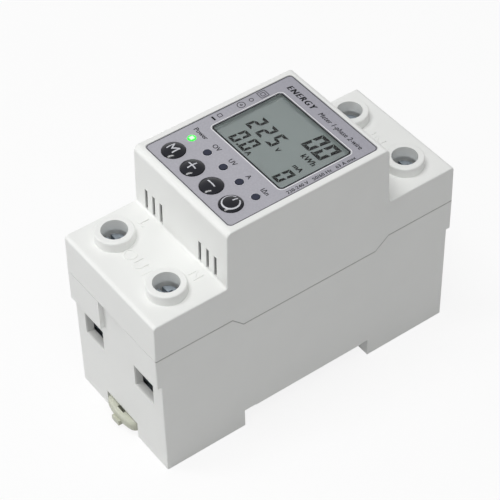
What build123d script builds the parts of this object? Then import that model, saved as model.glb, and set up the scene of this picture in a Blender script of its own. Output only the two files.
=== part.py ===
from build123d import *
import os

# Two-module energy meter for a 35 mm mounting rail, in millimetres.
# X runs across the width, Y along the length, Z up through the display.
# Heights below are measured up from the feet; the finished pieces are lowered
# by the depth of the rail recess, so that the rail seat lies at Z = 0.

# Outer form
body_width = 36.0
lower_length = 83.1
end_overhang = 1.1
step_height = 29.2
parting_height = 38.1
parting_dip = 3.05
dip_top = (-21.8, 23.1)
dip_bottom = (-18.8, 19.3)
shoulder_height = 49.0
nose_height = 65.4
nose_length = 44.9
nose_flare = 0.9
end_draft = 0.2
corner_radius = 0.35
shoulder_radius = 1.0
nose_radius = 1.5
nose_foot_radius = 0.6
parting_gap = 0.14
match_tolerance = 0.01

# Walls of the two shells
wall = 1.6
end_wall = 1.8
cover_wall = 1.8
nose_skin = 2.0
partition = 1.2
foot_floor = 1.8

# Rail seat
rail_recess_depth = 5.1
recess_near = -19.2
recess_far = 18.0
seat_half = 15.9
seat_relief = 0.2
hook_reach = 1.7
hook_top = 3.85
hook_tip_height = 0.8
hook_rise = 2.2
hook_half_width = 14.0
hook_wall = 1.8

# Terminals
terminal_side_inset = 7.7
terminal_end_inset = 7.85
chamber_half_width = 5.4
chamber_play = 0.3
entry_width = 7.7
entry_height = 6.6
entry_inner_width = 6.5
entry_inner_height = 6.0
entry_centre_height = 23.0
boss_radius = 4.7
boss_height = 2.7
boss_edge = 0.4
boss_set_back = 0.4
pocket_wall = 1.4
well_radius = 3.15
well_lip = 0.3
sleeve_outer = 5.2
sleeve_inner = 3.8
sleeve_bottom = 44.0

# Clamp cages, screws and bars
cage_width = 10.4
cage_length = 10.4
cage_wall = 1.2
cage_closed_gap = 0.6
cage_block = 4.0
cage_travel = 7.0
cage_block_clear = 3.5
bar_bottom = 27.0
bar_thickness = 1.5
bar_width = 6.0
bar_neck = 3.6
bar_overrun = 4.5
bar_bend = 2.0
screw_radius = 1.96
thread_clearance = 0.05
screw_head_radius = 2.8
screw_head_height = 2.8
screw_head_edge = 0.2
screw_top = 47.9
screw_slot_width = 1.0
screw_slot_depth = 1.5
screw_cross_length = 3.2
screw_cross_depth = 1.9
fit_gap = 0.1

# Rail clip
clip_x = -0.8
clip_half_width = 6.1
clip_bottom = 0.9
clip_top = 4.4
clip_side_gap = 0.3
clip_top_gap = 0.5
clip_travel = 3.0
clip_tab_reach = 1.65
clip_corner_reach = 0.55
clip_tongue_reach = 2.25
clip_tongue_half = 1.4
clip_tongue_top = 2.3
clip_catch_tip = -16.3
clip_catch_ramp = 2.4
clip_tab_depth = 3.0
clip_tab_corner_round = 2.2
clip_tab_round = 1.3
flange_reach = 1.5
flange_bottom = 1.85
flange_top = 3.15
flange_end_inset = 7.65
flange_rail_inset = 2.2
groove_gap = 0.15
channel_wall = 2.0
arm_slot_width = 0.9
arm_width = 1.3
arm_slot_inset = 2.9
notch_half = 1.3
notch_depth = 1.0

# Label, window and front controls
label_side_margin = 1.7
label_end_margin = 1.85
label_thickness = 0.3
label_recess = 0.4
label_corner = 1.1
label_edge_gap = 0.1
window_x = 0.5
window_y = 5.1
window_side_margin = 4.9
window_end_margin = 12.5
window_corner = 0.9
window_top_drop = 0.05
window_flange = 1.0
window_flange_thickness = 0.5
window_gap = 0.1
pocket_skin = 0.65
pocket_gap = 0.2
button_inset = 6.35
button_row_margin = 1.74
button_offset = -0.3
cap_spacing = 0.9
cap_clearance = 0.12
cap_flange_reach = 0.4
cap_flange_thickness = 0.9
cap_rim_proud = 0.15
cap_crown = 0.75
cap_foot_radius = 2.2
cap_flange_drop = 0.15
button_travel = 0.5
led_inset = 11.95
led_row_margin = 4.2
led_lens_radius = 0.95
led_hole_radius = 1.05
led_body_radius = 1.5
led_body_height = 4.4
led_proud = 0.15

# Display stack, hung from the underside of the nose skin
display_drop = 5.7
board_thickness = 1.6
board_side_gap = 1.2
display_end_gap = 2.05
glass_thickness = 2.2
glass_gap = 0.05
glass_margin = 1.2
strip_width = 1.6
backlight_gap = 0.1
switch_spacing = 1.28
switch_height = 3.3
plunger_radius = 1.65
plunger_hole = 1.73
plunger_sink = 1.9
plunger_spare = 0.2
plunger_reach = 0.9
screw_post_side_inset = 3.2
screw_post_end_inset = 3.75
screw_post_radius = 1.6
post_screw_radius = 0.9
post_screw_length = 4.5
post_screw_head = 1.7
post_screw_head_height = 1.2
hold_rib_length = 2.5
hold_rib_step = 3.3
hold_rib_overlap = 0.3

# Power board and what stands under it
power_board_bottom = 32.0
ring_to_board = 1.5
board_far_gap = 6.0
board_ledge_insets = (2.5, 1.5)
board_ledge_width = 2.4
board_ledge_reach = 2.4
ring_end_gap = 9.8
ring_thickness = 7.4
ring_outer = 11.0
ring_hole = 5.6
ring_clear = 0.1
saddle_half = 8.0
saddle_thickness = 4.0
saddle_wrap = 3.2
strap_offset = 2.6
relay_left = -6.5
relay_side_gap = 3.9
relay_ring_gap = 4.0
relay_end_gap = 4.5
relay_height = 19.5
relay_edge = 0.8
blade_side = 3.0
pin_radius = 0.5
relay_pin_xs = (-4.0, 0.0, 4.0)
relay_pin_inset = 4.0

# Components on the power board. Insets are from the board's side edges; the
# other figures are shares of the board's length, or of the room above it.
film_insets = (2.0, 13.0)
film_near_gap = 1.2
film_depth_share = 0.236
film_height_share = 0.55
smoothing_inset = 6.8
smoothing_near_gap = 1.1
smoothing_length_share = 0.15
smoothing_width_share = 0.329
smoothing_height_share = 0.733
varistor_inset = 7.0
varistor_middle_share = 0.442
varistor_depth_share = 0.127
varistor_height_share = 0.267
varistor_width_share = 0.395
lead_height = 2.2
lead_spacing = 5.0
transformer_insets = (13.3, 4.1)
transformer_middle_share = 0.642
transformer_depth_share = 0.406
transformer_height_share = 0.49
winding_depth_share = 0.324
winding_side_gap = 1.5
winding_top_gap = 0.5
chip_inset = 6.7
chip_middle_share = 0.742
chip_width = 7.5
chip_depth_share = 0.15
chip_height = 1.6
header_inset = 1.9
header_near_gap = 11.0
header_far_gap = 3.9
header_pitch = 2.54
header_body = 2.5
header_pin = 0.64

# Ribs, lip and snap hooks that join cover and base
lip_thickness = 0.8
lip_height = 1.4
lip_root = 1.5
lip_gap = 0.1
lip_snap_gap = 7.2
snap_end_gap = 3.0
snap_width = 2.4
snap_thickness = 1.1
snap_barb = 0.6
snap_bottom = 31.4
snap_root = 45.0
snap_gap = 0.1
snap_window_height = 2.4

# Vent slots in the end walls of the nose
vent_width = 1.05
vent_rise = 0.45
vent_share = 0.384
vent_insets = (4.55, 7.5, 10.45)

# Sizes worked out from the ones above: the shells
half_width = body_width / 2
lower_half = lower_length / 2
upper_half = lower_half + end_overhang
nose_half = nose_length / 2
nose_foot_half = (nose_length + nose_flare) / 2
inner_half = half_width - wall
dip_height = parting_height - parting_dip
terminal_x = half_width - terminal_side_inset
terminal_y = lower_half - terminal_end_inset
chamber_inner = terminal_y - cage_length / 2 - chamber_play
chamber_outer = lower_half - end_wall
room_half = chamber_inner - partition
room_floor = rail_recess_depth + wall
between_terminals = terminal_x - boss_radius - boss_set_back
centre_pocket_half = terminal_x - chamber_half_width - pocket_wall
skin_underside = nose_height - nose_skin
shoulder_underside = shoulder_height - cover_wall
vent_bottom = shoulder_height + vent_rise
vent_top = shoulder_height + vent_share * (nose_height - shoulder_height)
snap_y = room_half - snap_end_gap
lip_half_length = snap_y - lip_snap_gap

# The rail clip and its channel
channel_half = clip_half_width + clip_side_gap
channel_top = clip_top + clip_top_gap
near_floor = channel_top + wall
clip_tab_end = lower_half + clip_tab_reach
clip_tab_corner = lower_half + clip_corner_reach
clip_tongue_end = lower_half + clip_tongue_reach
flange_near = flange_end_inset - lower_half
flange_far = recess_near - flange_rail_inset
arm_slot_near = flange_near + arm_slot_inset

# The front
label_floor = nose_height - label_recess
label_top = label_floor + label_thickness
label_width = body_width - 2 * label_side_margin
label_length = nose_length - 2 * label_end_margin
window_width = body_width - 2 * window_side_margin
window_length = nose_length - 2 * window_end_margin
pocket_ceiling = label_floor - pocket_skin
button_y = button_inset - nose_half
button_pitch = (label_width - 2 * button_row_margin) / 4
button_xs = [button_offset + (k - 1.5) * button_pitch for k in range(4)]
cap_radius = button_pitch / 2 - cap_spacing
cap_hole_radius = cap_radius + cap_clearance
cap_flange_radius = cap_radius + cap_flange_reach
cap_flange_top = skin_underside - cap_flange_drop
switch_side = button_pitch - switch_spacing
led_y = led_inset - nose_half
led_pitch = (label_width - 2 * led_row_margin) / 4
led_xs = [(k - 2) * led_pitch for k in range(5)]

# The display stack
display_top = skin_underside - display_drop
display_bottom = display_top - board_thickness
display_half_width = inner_half - board_side_gap
display_half_length = nose_half - display_end_gap
glass_top = pocket_ceiling - window_flange_thickness - glass_gap
glass_bottom = glass_top - glass_thickness
glass_half_x = window_width / 2 + glass_margin
glass_half_y = window_length / 2 + glass_margin
plunger_top = display_top + switch_height + plunger_reach
screw_post_x = display_half_width - screw_post_side_inset
screw_post_y = nose_half - screw_post_end_inset
hold_rib_y = button_y + hold_rib_step

# The clamps, the ring, the relay and the power board
bar_top = bar_bottom + bar_thickness
bar_middle = bar_bottom + bar_thickness / 2
bar_end_y = terminal_y + bar_overrun
cage_floor_top = bar_bottom - cage_closed_gap - cage_travel
cage_bottom = cage_floor_top - cage_wall
block_bottom = bar_top + cage_block_clear
cage_top = block_bottom + cage_block
ring_y = ring_end_gap - room_half
ring_far_face = ring_y + ring_thickness / 2
relay_x = (relay_left, inner_half - relay_side_gap)
relay_y = (ring_far_face + relay_ring_gap, room_half - relay_end_gap)
relay_top = room_floor + relay_height
board_top = power_board_bottom + board_thickness
board_clear = display_bottom - board_top
power_board_half = inner_half - board_side_gap
power_board_near = ring_far_face + ring_to_board
power_board_far = room_half - board_far_gap
board_length = power_board_far - power_board_near
board_ledge_ys = (power_board_near + board_ledge_insets[0], power_board_far - board_ledge_insets[1])
board_rib_top = min(shoulder_height, display_bottom - wall)

control_names = ("mode", "plus", "minus", "power")
lamp_names = ("power", "overvoltage", "undervoltage", "current", "leakage")
ends = {"near": -1, "far": 1}
sides = {"left": -1, "right": 1}
corners = [(end, side) for end in ends for side in sides]


def about(middle, size):
    """The two ends of a span of that size about its middle."""
    return (middle - size / 2, middle + size / 2)


def block(x, y, z):
    """Box between two x, two y and two z values, given in either order."""
    spans = [sorted(pair) for pair in (x, y, z)]
    size = [high - low for low, high in spans]
    middle = [(low + high) / 2 for low, high in spans]
    return Pos(*middle) * Box(*size)


def post(x, y, z, radius):
    """Upright cylinder between two heights."""
    return Pos(x, y, (z[0] + z[1]) / 2) * Cylinder(radius, z[1] - z[0])


def rounded_block(x, y, size, z, radius):
    """Box with rounded upright edges, about x, y and between two heights."""
    return extrude(Pos(x, y, z[0]) * RectangleRounded(*size, radius), z[1] - z[0])


def prism(points, x):
    """Prism across the width on an outline of (y, z) points."""
    outline = make_face(Polyline(*points, close=True))
    return extrude(Plane.YZ.offset(x[0]) * outline, x[1] - x[0])


def taper_block(x, z, y_outer, y_inner, outer_size, inner_size):
    """Tapered passage along Y between two rectangles of (width, height)."""
    faces = []
    for y, (width, height) in ((y_outer, outer_size), (y_inner, inner_size)):
        faces.append(Plane(origin=(x, y, z), x_dir=(1, 0, 0), z_dir=(0, 1, 0)) * Rectangle(width, height))
    return loft(faces)


def parting_points(lift):
    """Wavy line where cover and base meet, from the near end to the far one."""
    high = parting_height + lift
    low = dip_height + lift
    return [
        (-upper_half, high), (dip_top[0], high), (dip_bottom[0], low),
        (dip_bottom[1], low), (dip_top[1], high), (upper_half, high),
    ]


def base_block():
    """Solid outside of the base, with the step, the dip and the rail recess."""
    lower = rounded_block(0, 0, (body_width, lower_length), (0, step_height), corner_radius)
    upper = rounded_block(0, 0, (body_width, 2 * upper_half), (step_height, parting_height), corner_radius)
    over = parting_height + wall
    dip = [(dip_top[0], parting_height), (dip_bottom[0], dip_height), (dip_bottom[1], dip_height),
           (dip_top[1], parting_height), (dip_top[1], over), (dip_top[0], over)]
    across = (-body_width, body_width)
    body = lower + upper - prism(dip, across)
    body -= block(across, (recess_near, recess_far), (-wall, rail_recess_depth))
    for beyond in ((recess_near, -seat_half), (seat_half, recess_far)):
        body -= block(across, beyond, (-wall, rail_recess_depth + seat_relief))
    for end in ends.values():
        body -= block((-between_terminals, between_terminals),
                      (end * lower_half, end * (upper_half + wall)),
                      (step_height - wall, parting_height + wall))
    return body


def base_hollow():
    """Everything taken out of the inside of the base from above."""
    top = parting_height + wall
    over_floor = room_floor + wall
    hollow = block((-inner_half, inner_half), (-room_half, room_half), (room_floor, top))
    hollow += block((-inner_half, inner_half), (recess_far + hook_wall, room_half),
                    (foot_floor, over_floor))
    side_x = channel_half + flange_reach + channel_wall + abs(clip_x)
    chamber_side = terminal_x + chamber_half_width
    for side in sides.values():
        hollow += block((side * side_x, side * inner_half), (-room_half, recess_near - wall),
                        (foot_floor, over_floor))
        for name, end in ends.items():
            low = near_floor if name == "near" else foot_floor
            hollow += block(about(side * terminal_x, 2 * chamber_half_width),
                            (end * chamber_inner, end * chamber_outer), (low, top))
        hollow += block((side * side_x, side * chamber_side), (-chamber_inner, -chamber_outer),
                        (foot_floor, near_floor + wall))
    for name, end in ends.items():
        low = near_floor if name == "near" else foot_floor
        hollow += block((-centre_pocket_half, centre_pocket_half),
                        (end * chamber_inner, end * chamber_outer), (low, top))
    return hollow


def terminal_seats():
    """Ribs that the clamp cages stand on, one pair in each chamber."""
    ribs = Part()
    for name, end in ends.items():
        low = (near_floor if name == "near" else foot_floor) - fit_gap
        for side in sides.values():
            for shift in (-cage_width / 4, cage_width / 4):
                ribs += block(about(side * terminal_x + shift, partition),
                              (end * chamber_inner, end * chamber_outer), (low, cage_bottom - fit_gap))
    return ribs


def clip_channel():
    """Channel for the rail clip, with a groove along each side for its flanges."""
    channel = block(about(clip_x, 2 * channel_half), (-upper_half, recess_near + wall), (-wall, channel_top))
    groove_half = clip_half_width + flange_reach + clip_side_gap
    groove = block(about(clip_x, 2 * groove_half),
                   (flange_near - clip_travel - groove_gap, recess_near + wall),
                   (flange_bottom - groove_gap, flange_top + groove_gap))
    return channel + groove


def base_housing():
    body = base_block() - base_hollow() + terminal_seats() - clip_channel()
    hook = [(recess_far, hook_top), (recess_far - hook_reach, hook_top),
            (recess_far - hook_reach, hook_top - hook_tip_height),
            (recess_far, hook_top - hook_tip_height - hook_rise)]
    body += prism(hook, (-hook_half_width, hook_half_width))
    lip_outer = inner_half - lip_gap
    lip_inner = lip_outer - lip_thickness
    lip_y = (-lip_half_length, lip_half_length)
    for side in sides.values():
        for end in ends.values():
            body -= taper_block(side * terminal_x, entry_centre_height, end * (lower_half + fit_gap / 4),
                                end * (chamber_outer - fit_gap / 4), (entry_width, entry_height),
                                (entry_inner_width, entry_inner_height))
            body -= block(about(side * terminal_x, bar_width + 2 * fit_gap),
                          (end * (room_half - fit_gap), end * (chamber_inner + fit_gap)),
                          (bar_bottom, parting_height + wall))
            body -= block((side * (inner_half - fit_gap), side * (inner_half + snap_barb + snap_gap)),
                          about(end * snap_y, snap_width + 2 * snap_gap),
                          (snap_bottom, snap_bottom + snap_window_height))
        for y in board_ledge_ys:
            body += block((side * (inner_half - board_ledge_reach), side * (inner_half + fit_gap)),
                          about(y, board_ledge_width), (room_floor - fit_gap, power_board_bottom))
        body += block((side * lip_inner, side * lip_outer), lip_y,
                      (dip_height - lip_root, dip_height + lip_height))
        body += block((side * lip_inner, side * (inner_half + fit_gap)), lip_y,
                      (dip_height - lip_root, dip_height))
    saddle = block((-saddle_half, saddle_half), about(ring_y, saddle_thickness),
                   (room_floor - fit_gap, bar_middle - ring_outer + saddle_wrap))
    around_ring = Cylinder(ring_outer + ring_clear, 2 * saddle_thickness)
    saddle -= Pos(0, ring_y, bar_middle) * Rot(90, 0, 0) * around_ring
    return body + saddle


def cover_block():
    """Solid outside of the cover: shoulders at both ends and the raised nose."""
    shoulder_end = upper_half - end_draft
    outline = parting_points(parting_gap) + [
        (shoulder_end, shoulder_height), (nose_foot_half, shoulder_height), (nose_half, nose_height),
        (-nose_half, nose_height), (-nose_foot_half, shoulder_height), (-shoulder_end, shoulder_height),
    ]
    face = make_face(Polyline(*outline, close=True))
    for half, height, radius in ((shoulder_end, shoulder_height, shoulder_radius),
                                 (nose_foot_half, shoulder_height, nose_foot_radius),
                                 (nose_half, nose_height, nose_radius)):
        at = [v for v in face.vertices() if max(abs(abs(v.X) - half), abs(v.Y - height)) < match_tolerance]
        face = fillet(at, radius)
    body = extrude(Plane.YZ.offset(-half_width) * face, body_width)
    rounded = [e for e in body.edges()
               if abs(abs(e.center().X) - half_width) < match_tolerance
               and e.center().Z > parting_height + wall]
    return fillet(rounded, corner_radius)


def cover_hollow():
    """Inside of the cover, open towards the base."""
    below = dip_height - wall
    end = upper_half - end_wall
    foot = nose_foot_half - wall
    top = nose_half - wall
    outline = [(-end, below), (end, below), (end, shoulder_underside), (foot, shoulder_underside),
               (top, skin_underside), (-top, skin_underside), (-foot, shoulder_underside),
               (-end, shoulder_underside)]
    return prism(outline, (-inner_half, inner_half))


def control_holes(z):
    """Openings for the window, the buttons and the lamps, between two heights."""
    size = (window_width + 2 * window_gap, window_length + 2 * window_gap)
    cuts = rounded_block(window_x, window_y, size, z, window_corner + window_gap)
    for x in button_xs:
        cuts += post(x, button_y, z, cap_hole_radius)
    for x in led_xs:
        cuts += post(x, led_y, z, led_hole_radius)
    return cuts


def front_openings():
    """Recess for the label, all openings, and the pocket that takes the display."""
    size = (label_width + 2 * label_edge_gap, label_length + 2 * label_edge_gap)
    cuts = rounded_block(0, 0, size, (label_floor, nose_height + label_recess), label_corner)
    cuts += block(about(window_x, 2 * (glass_half_x + pocket_gap)),
                  about(window_y, 2 * (glass_half_y + pocket_gap)), (skin_underside - wall, pocket_ceiling))
    return cuts + control_holes((skin_underside - wall, nose_height + wall))


def screw_well(x, y):
    """Boss, guide sleeve and bore round one terminal screw: (added, removed)."""
    boss = post(x, y, (shoulder_height - cover_wall / 2, shoulder_height + boss_height), boss_radius)
    boss = fillet(boss.edges().sort_by(Axis.Z)[-1], boss_edge)
    sleeve = post(x, y, (sleeve_bottom, shoulder_height - cover_wall / 2), sleeve_outer)
    bore = post(x, y, (sleeve_bottom - wall, shoulder_height + boss_height + wall), well_radius)
    bore += post(x, y, (sleeve_bottom - wall, shoulder_height - well_lip), sleeve_inner)
    return boss + sleeve, bore


def snap_hook(side, end):
    """Hook that hangs from the cover's side wall into a window of the base."""
    outer = inner_half - snap_gap
    y = about(end * snap_y, snap_width)
    hook = block((side * (outer - snap_thickness), side * outer), y, (snap_bottom, snap_root))
    hook += block((side * (outer - snap_thickness), side * (inner_half + fit_gap)), y,
                  (parting_height + parting_gap + snap_gap, snap_root))
    barb_top = snap_bottom + snap_window_height - snap_gap
    barb = [(side * outer, snap_bottom + snap_gap), (side * outer, barb_top),
            (side * (outer + snap_barb), barb_top)]
    return hook + extrude(Plane.XZ.offset(-y[0]) * make_face(Polyline(*barb, close=True)), -snap_width)


def cover_ribs():
    """Partition walls, board ribs, screw posts and snap hooks inside the cover."""
    low = parting_height + parting_gap
    ribs = Part()
    for end in ends.values():
        ribs += block((-inner_half - fit_gap, inner_half + fit_gap),
                      (end * room_half, end * chamber_inner), (low, shoulder_underside + fit_gap))
        for side in sides.values():
            ribs += snap_hook(side, end)
    rib_inner = inner_half - board_ledge_reach
    for side in sides.values():
        for y in board_ledge_ys:
            span = about(y, board_ledge_width)
            ribs += block((side * rib_inner, side * (inner_half - lip_gap - lip_thickness - lip_gap)), span,
                          (board_top + fit_gap, board_rib_top))
            ribs += block((side * rib_inner, side * (inner_half + fit_gap)), span,
                          (dip_height + lip_height + lip_gap, board_rib_top))
        ribs += block((side * (display_half_width - hold_rib_overlap), side * (inner_half + fit_gap)),
                      (hold_rib_y, hold_rib_y + hold_rib_length), (display_top, skin_underside + fit_gap))
        ribs += post(side * screw_post_x, screw_post_y, (display_top, skin_underside + fit_gap),
                     screw_post_radius)
        ribs -= post(side * screw_post_x, screw_post_y,
                     (display_top - fit_gap, display_bottom + post_screw_length + fit_gap), post_screw_radius)
    return ribs


def vent_slots():
    """Two groups of upright slots in each end wall of the nose."""
    slots = Part()
    for end in ends.values():
        for side in sides.values():
            for inset in vent_insets:
                slots += block(about(side * (half_width - inset), vent_width),
                               (end * (nose_half - 2 * wall), end * (nose_foot_half + wall)),
                               (vent_bottom, vent_top))
    return slots


def top_cover():
    body = cover_block() - cover_hollow() + cover_ribs()
    bores = Part()
    for end, side in corners:
        added, removed = screw_well(sides[side] * terminal_x, ends[end] * terminal_y)
        body += added
        bores += removed
    return body - bores - front_openings() - vent_slots()


def label_plate():
    plate = rounded_block(0, 0, (label_width, label_length), (label_floor, label_top), label_corner)
    return plate - control_holes((label_floor - wall, label_top + wall))


def lcd_window():
    """Clear window, bonded by its flange to the ceiling of the pocket."""
    flange_bottom_z = pocket_ceiling - window_flange_thickness
    pane = rounded_block(window_x, window_y, (window_width, window_length),
                         (flange_bottom_z, label_top - window_top_drop), window_corner)
    flange = block(about(window_x, window_width + 2 * window_flange),
                   about(window_y, window_length + 2 * window_flange), (flange_bottom_z, pocket_ceiling))
    return pane + flange


def display_parts():
    """Glass, light guide, contact strips, board and its two screws."""
    across = about(window_x, 2 * glass_half_x)
    guide_length = 2 * (glass_half_y - strip_width - backlight_gap)
    parts = {
        "lcd_glass": block(across, about(window_y, 2 * glass_half_y), (glass_bottom, glass_top)),
        "lcd_backlight": block(across, about(window_y, guide_length), (display_top, glass_bottom)),
    }
    for name, end in ends.items():
        parts[f"contact_strip_{name}"] = block(
            about(window_x, 2 * (glass_half_x - strip_width)),
            (window_y + end * (glass_half_y - strip_width), window_y + end * glass_half_y),
            (display_top, glass_bottom))
    board = block((-display_half_width, display_half_width), (-display_half_length, display_half_length),
                  (display_bottom, display_top))
    screws = Part()
    for side in sides.values():
        at = side * screw_post_x
        board -= post(at, screw_post_y, (display_bottom - wall, display_top + wall),
                      post_screw_radius + fit_gap)
        screws += post(at, screw_post_y, (display_bottom, display_bottom + post_screw_length),
                       post_screw_radius - fit_gap / 2)
        screws += post(at, screw_post_y, (display_bottom - post_screw_head_height, display_bottom),
                       post_screw_head)
    parts["display_board"] = board
    parts["display_screws"] = screws
    return parts


def front_controls():
    """Four push-buttons, each a cap, a plunger and a switch, and five lamps."""
    parts = {}
    switch_top = display_top + switch_height
    for name, x in zip(control_names, button_xs):
        base = block(about(x, switch_side), about(button_y, switch_side), (display_top, switch_top))
        hole_floor = switch_top - plunger_sink - button_travel - plunger_spare
        parts[f"switch_{name}"] = base - post(x, button_y, (hole_floor, switch_top + wall), plunger_hole)
        parts[f"plunger_{name}"] = post(x, button_y, (switch_top - plunger_sink, plunger_top), plunger_radius)
        rim = label_top + cap_rim_proud
        flange_middle = cap_flange_top - cap_flange_thickness / 2
        cap = post(x, button_y, (flange_middle, rim), cap_radius)
        cap += post(x, button_y, (cap_flange_top - cap_flange_thickness, cap_flange_top), cap_flange_radius)
        cap += post(x, button_y, (plunger_top, flange_middle), cap_foot_radius)
        crown_radius = (cap_radius ** 2 + cap_crown ** 2) / (2 * cap_crown)
        crown = Pos(x, button_y, rim + cap_crown - crown_radius) * Sphere(crown_radius)
        crown &= post(x, button_y, (rim - fit_gap, rim + wall), cap_radius)
        parts[f"button_{name}"] = cap + crown
    for name, x in zip(lamp_names, led_xs):
        lamp = post(x, led_y, (display_top, display_top + led_body_height), led_body_radius)
        lamp += post(x, led_y, (display_top + led_body_height / 2, label_top + led_proud), led_lens_radius)
        parts[f"led_{name}"] = lamp
    return parts


def strap(points, width):
    """Flat copper strap cut to follow a bent centre line."""
    path = FilletPolyline(*points, radius=bar_bend) if len(points) > 2 else Line(*points)
    return extrude(Pos(0, 0, bar_bottom) * trace(path, width), bar_thickness)


def current_bars():
    """Neutral straight through, line in to the relay, line out from the relay."""
    bend_near = bar_width / 3 - room_half
    ring_near = ring_y - ring_thickness / 2 - bar_neck / 3
    ring_far = ring_far_face + bar_neck / 3
    side_step = terminal_x - strap_offset
    neutral = strap([(-terminal_x, -bar_end_y), (-terminal_x, bend_near)], bar_width)
    neutral += strap([(-terminal_x, bend_near - bar_bend), (-terminal_x, bend_near),
                      (-strap_offset, ring_near), (-strap_offset, ring_far),
                      (-terminal_x, ring_far + side_step), (-terminal_x, room_half)], bar_neck)
    neutral += strap([(-terminal_x, ring_far + side_step + bar_bend), (-terminal_x, bar_end_y)], bar_width)
    line_in = strap([(terminal_x, -bar_end_y), (terminal_x, bend_near)], bar_width)
    line_in += strap([(terminal_x, bend_near - bar_bend), (terminal_x, bend_near),
                      (strap_offset, ring_near), (strap_offset, relay_y[0] + 1.5 * blade_side)], bar_neck)
    line_out = strap([(terminal_x, relay_y[1] - 2 * blade_side), (terminal_x, bar_end_y)], bar_width)
    return {"neutral_bar": neutral, "line_bar_in": line_in, "line_bar_out": line_out}


def relay():
    case = block(relay_x, relay_y, (room_floor, relay_top))
    case = fillet(case.edges().filter_by(Axis.Z), relay_edge)
    for x, y in ((strap_offset, relay_y[0] + blade_side), (terminal_x, relay_y[1] - 1.5 * blade_side)):
        case += block(about(x, blade_side), about(y, blade_side), (relay_top - fit_gap, bar_bottom))
    for x in relay_pin_xs:
        case += post(x, relay_y[1] - relay_pin_inset, (relay_top - fit_gap, power_board_bottom), pin_radius)
    return case


def along_board(share):
    """Place along the power board, as a share of its length from the near edge."""
    return power_board_near + share * board_length


def supply_transformer():
    """Core with two windows, and the winding through them."""
    x = (transformer_insets[0] - power_board_half, power_board_half - transformer_insets[1])
    width = x[1] - x[0]
    depth = transformer_depth_share * board_length
    height = transformer_height_share * board_clear
    radius = min(width / 2 - winding_side_gap, height / 2 - winding_top_gap)
    core = Box(width, depth, height) - Box(width / 2, 2 * depth, height / 2)
    core += Rot(90, 0, 0) * Cylinder(radius, winding_depth_share * board_length)
    return Pos((x[0] + x[1]) / 2, along_board(transformer_middle_share), board_top + height / 2) * core


def board_header():
    """Row of pins that joins the two boards."""
    pins = int((board_length - header_near_gap - header_far_gap) / header_pitch)
    x = display_half_width - header_inset
    start = power_board_near + header_near_gap
    header = block(about(x, header_body), (start, start + pins * header_pitch),
                   (board_top, board_top + header_body))
    for k in range(pins):
        y = start + (k + 0.5) * header_pitch
        header += block(about(x, header_pin), about(y, header_pin), (board_top, display_bottom))
    return header


def power_parts():
    """Power board, the components that stand on it, and the ring round the bars."""
    film_near = power_board_near + film_near_gap
    film = block((film_insets[0] - power_board_half, power_board_half - film_insets[1]),
                 (film_near, film_near + film_depth_share * board_length),
                 (board_top, board_top + film_height_share * board_clear))
    can_radius = min(smoothing_length_share * board_length, smoothing_width_share * power_board_half)
    can = post(power_board_half - smoothing_inset, power_board_near + smoothing_near_gap + can_radius,
               (board_top, board_top + smoothing_height_share * board_clear), can_radius)
    radius = min(varistor_height_share * board_clear, varistor_width_share * power_board_half)
    disc_depth = varistor_depth_share * board_length
    disc = Pos(0, 0, lead_height + radius) * Rot(90, 0, 0) * Cylinder(radius, disc_depth)
    for side in sides.values():
        disc += post(side * lead_spacing / 2, 0, (0, lead_height + radius / 2), pin_radius)
    ring = Cylinder(ring_outer, ring_thickness) - Cylinder(ring_hole, 2 * ring_thickness)
    return {
        "power_board": block((-power_board_half, power_board_half), (power_board_near, power_board_far),
                             (power_board_bottom, board_top)),
        "film_capacitor": fillet(film.edges().filter_by(Axis.Z), relay_edge),
        "smoothing_capacitor": chamfer(can.edges().sort_by(Axis.Z)[-1], boss_edge),
        "varistor": Pos(varistor_inset - power_board_half, along_board(varistor_middle_share),
                        board_top) * disc,
        "supply_transformer": supply_transformer(),
        "metering_chip": block(about(chip_inset - power_board_half, chip_width),
                               about(along_board(chip_middle_share), chip_depth_share * board_length),
                               (board_top, board_top + chip_height)),
        "board_header": board_header(),
        "leakage_ring": Pos(0, ring_y, bar_middle) * Rot(90, 0, 0) * ring,
    }


def clamp_cage(x, y):
    """Box of folded steel round the bar and the wire, with a threaded top block."""
    outer = block(about(0, cage_width), about(0, cage_length), (cage_bottom, cage_top))
    inner = block(about(0, cage_width - 2 * cage_wall), about(0, 2 * cage_length),
                  (cage_floor_top, block_bottom))
    thread = post(0, 0, (block_bottom - wall, cage_top + wall), screw_radius + thread_clearance)
    return Pos(x, y, 0) * (outer - inner - thread)


def terminal_screw(x, y):
    """Clamp screw whose tip bears on the bar, with a combined slot and cross."""
    head_bottom = screw_top - screw_head_height
    head = post(0, 0, (head_bottom, screw_top), screw_head_radius)
    screw = post(0, 0, (bar_top, head_bottom), screw_radius)
    screw += chamfer(head.edges().sort_by(Axis.Z)[-1], screw_head_edge)
    slot = about(0, screw_slot_width)
    screw -= block(about(0, 2 * screw_head_radius), slot, (screw_top - screw_slot_depth, screw_top + wall))
    screw -= block(slot, about(0, screw_cross_length), (screw_top - screw_cross_depth, screw_top + wall))
    return Pos(x, y, 0) * screw


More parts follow.
